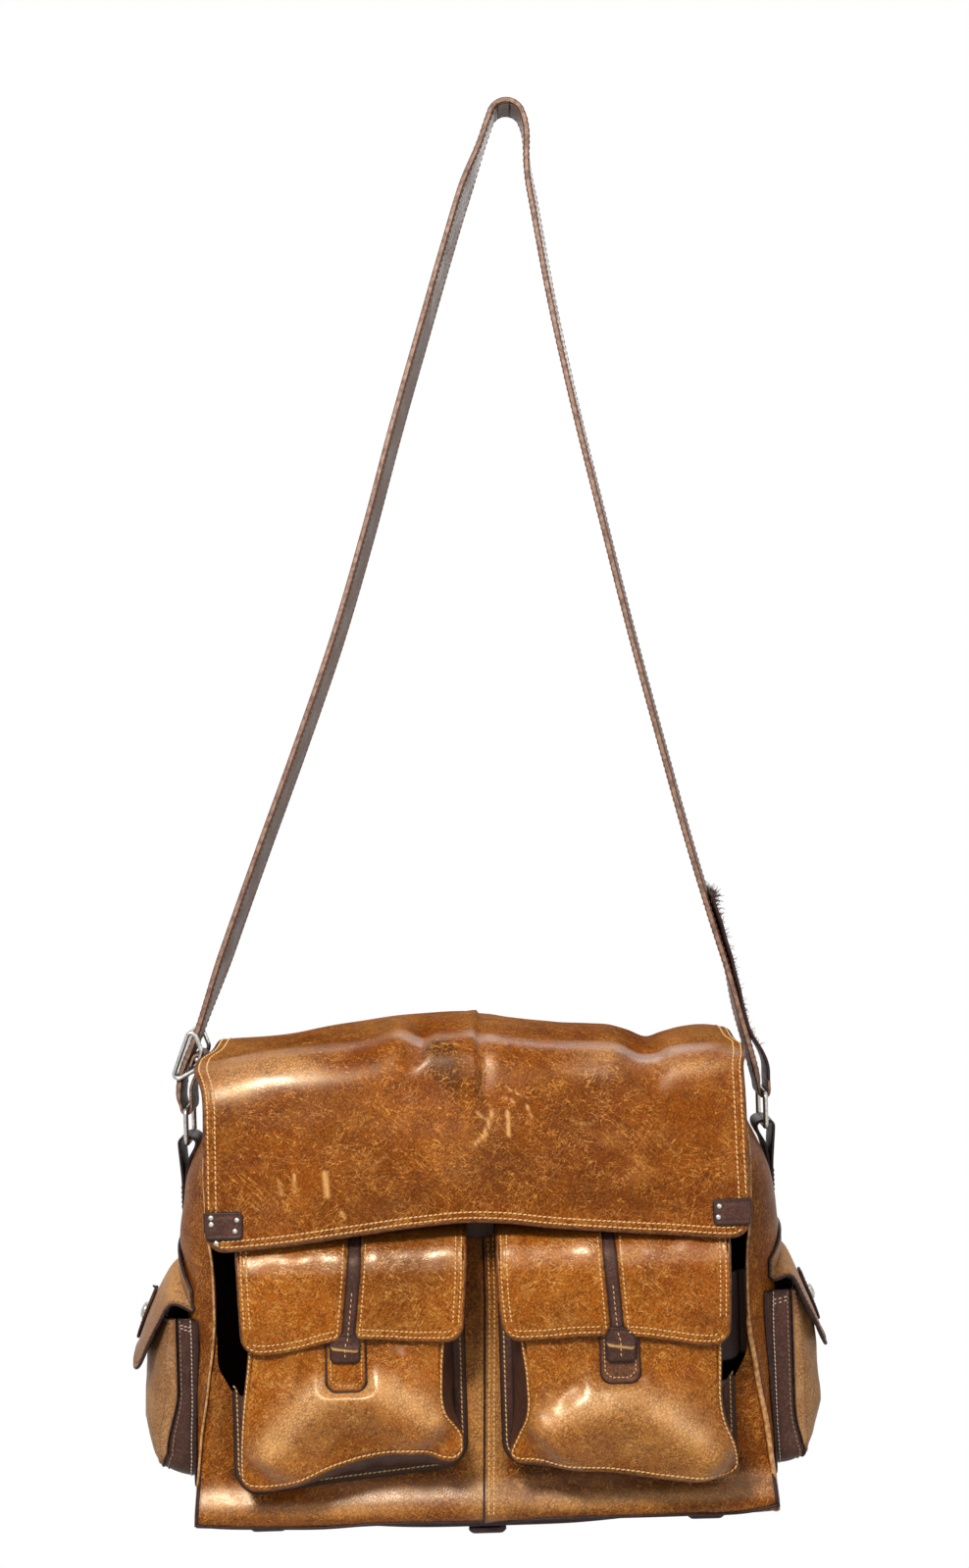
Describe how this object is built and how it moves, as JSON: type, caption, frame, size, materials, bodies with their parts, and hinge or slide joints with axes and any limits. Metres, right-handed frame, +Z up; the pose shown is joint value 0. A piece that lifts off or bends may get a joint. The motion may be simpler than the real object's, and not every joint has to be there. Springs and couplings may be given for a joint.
{
  "type": "satchel bag",
  "caption": "Leather satchel hung by its shoulder strap: main flap over a lined body, buckle-less front pockets and side pockets with flaps, ring and slide hardware.",
  "frame": {"origin": "seat of the shoulder strap on what holds it up, in the middle of the strap's width", "axes": "+Z up, -Y out of the bag's front, +X to the viewer's right"},
  "size_m": [0.4888, 0.168, 0.99],
  "materials": {
    "tan": "glossy, distressed",
    "dark": "satin",
    "strap": "satin, worn",
    "black": "satin",
    "nickel": "satin nickel",
    "fabric": "woven cotton",
    "board": "matt fibreboard"
  },
  "bodies": {
    "bag": {"shoulder_strap": "strap", "strap_fold_end": "strap", "adjust_loop": "strap", "front_panel_left": "tan", "front_panel_right": "tan", "back_panel": "tan", "gusset_left": "tan", "gusset_right": "tan", "bottom_panel": "black", "foot_left": "black", "foot_centre": "black", "foot_right": "black", "base_board": "board", "lining": "fabric", "ring_tab_left": "dark", "ring_tab_right": "dark", "snap_patch": "dark", "main_snap_socket": "nickel", "pocket_gusset_left": "dark", "pocket_panel_left": "tan", "keeper_left": "tan", "snap_plate_left": "nickel", "flap_root_left": "tan", "side_pocket_gusset_left": "dark", "side_pocket_panel_left": "tan", "side_snap_socket_left": "nickel", "pocket_gusset_right": "dark", "pocket_panel_right": "tan", "keeper_right": "tan", "snap_plate_right": "nickel", "flap_root_right": "tan", "side_pocket_gusset_right": "dark", "side_pocket_panel_right": "tan", "side_snap_socket_right": "nickel"},
    "slide": {"slide_buckle": "nickel"},
    "ring_left": {"ring_left": "nickel"},
    "ring_right": {"ring_right": "nickel"},
    "main_flap_top": {"flap_top": "tan"},
    "main_flap_front": {"flap_front": "tan", "corner_guard_left": "dark", "corner_guard_right": "dark", "main_snap_stud": "nickel"},
    "pocket_flap_left": {"pocket_flap_left": "tan", "tongue_left": "dark", "tongue_magnet_left": "nickel"},
    "side_flap_left": {"side_flap_left": "tan", "side_flap_patch_left": "dark", "side_snap_cap_left": "nickel"},
    "pocket_flap_right": {"pocket_flap_right": "tan", "tongue_right": "dark", "tongue_magnet_right": "nickel"},
    "side_flap_right": {"side_flap_right": "tan", "side_flap_patch_right": "dark", "side_snap_cap_right": "nickel"}
  },
  "joints": [
    {"name": "slide_travel", "type": "slide", "parent": "bag", "child": "slide", "axis": [0.3577, 0, 0.9338], "range_m": [0, 0.05], "deforming": ["adjust_loop"]},
    {"name": "ring_left_tilt", "type": "hinge", "parent": "bag", "child": "ring_left", "pos_m": [-0.245, 0, -0.7], "axis": [0, 1, 0], "range_deg": [-5, 5]},
    {"name": "ring_right_tilt", "type": "hinge", "parent": "bag", "child": "ring_right", "pos_m": [0.161, 0, -0.7], "axis": [0, 1, 0], "range_deg": [-5, 5]},
    {"name": "main_flap_lift", "type": "hinge", "parent": "bag", "child": "main_flap_top", "pos_m": [-0.042, 0.052, -0.65], "axis": [-1, 0, 0], "range_deg": [0, 15]},
    {"name": "main_flap_open", "type": "hinge", "parent": "main_flap_top", "child": "main_flap_front", "pos_m": [-0.042, -0.052, -0.6485], "axis": [-1, 0, 0], "range_deg": [0, 120]},
    {"name": "pocket_flap_left_open", "type": "hinge", "parent": "bag", "child": "pocket_flap_left", "pos_m": [-0.1305, -0.101, -0.794], "axis": [-1, 0, 0], "range_deg": [0, 80]},
    {"name": "pocket_flap_right_open", "type": "hinge", "parent": "bag", "child": "pocket_flap_right", "pos_m": [0.0465, -0.101, -0.794], "axis": [-1, 0, 0], "range_deg": [0, 80]},
    {"name": "side_flap_left_open", "type": "hinge", "parent": "bag", "child": "side_flap_left", "pos_m": [-0.24844, 0, -0.80725], "axis": [0, 1, 0], "range_deg": [0, 110]},
    {"name": "side_flap_right_open", "type": "hinge", "parent": "bag", "child": "side_flap_right", "pos_m": [0.16444, 0, -0.80725], "axis": [0, -1, 0], "range_deg": [0, 110]}
  ]
}
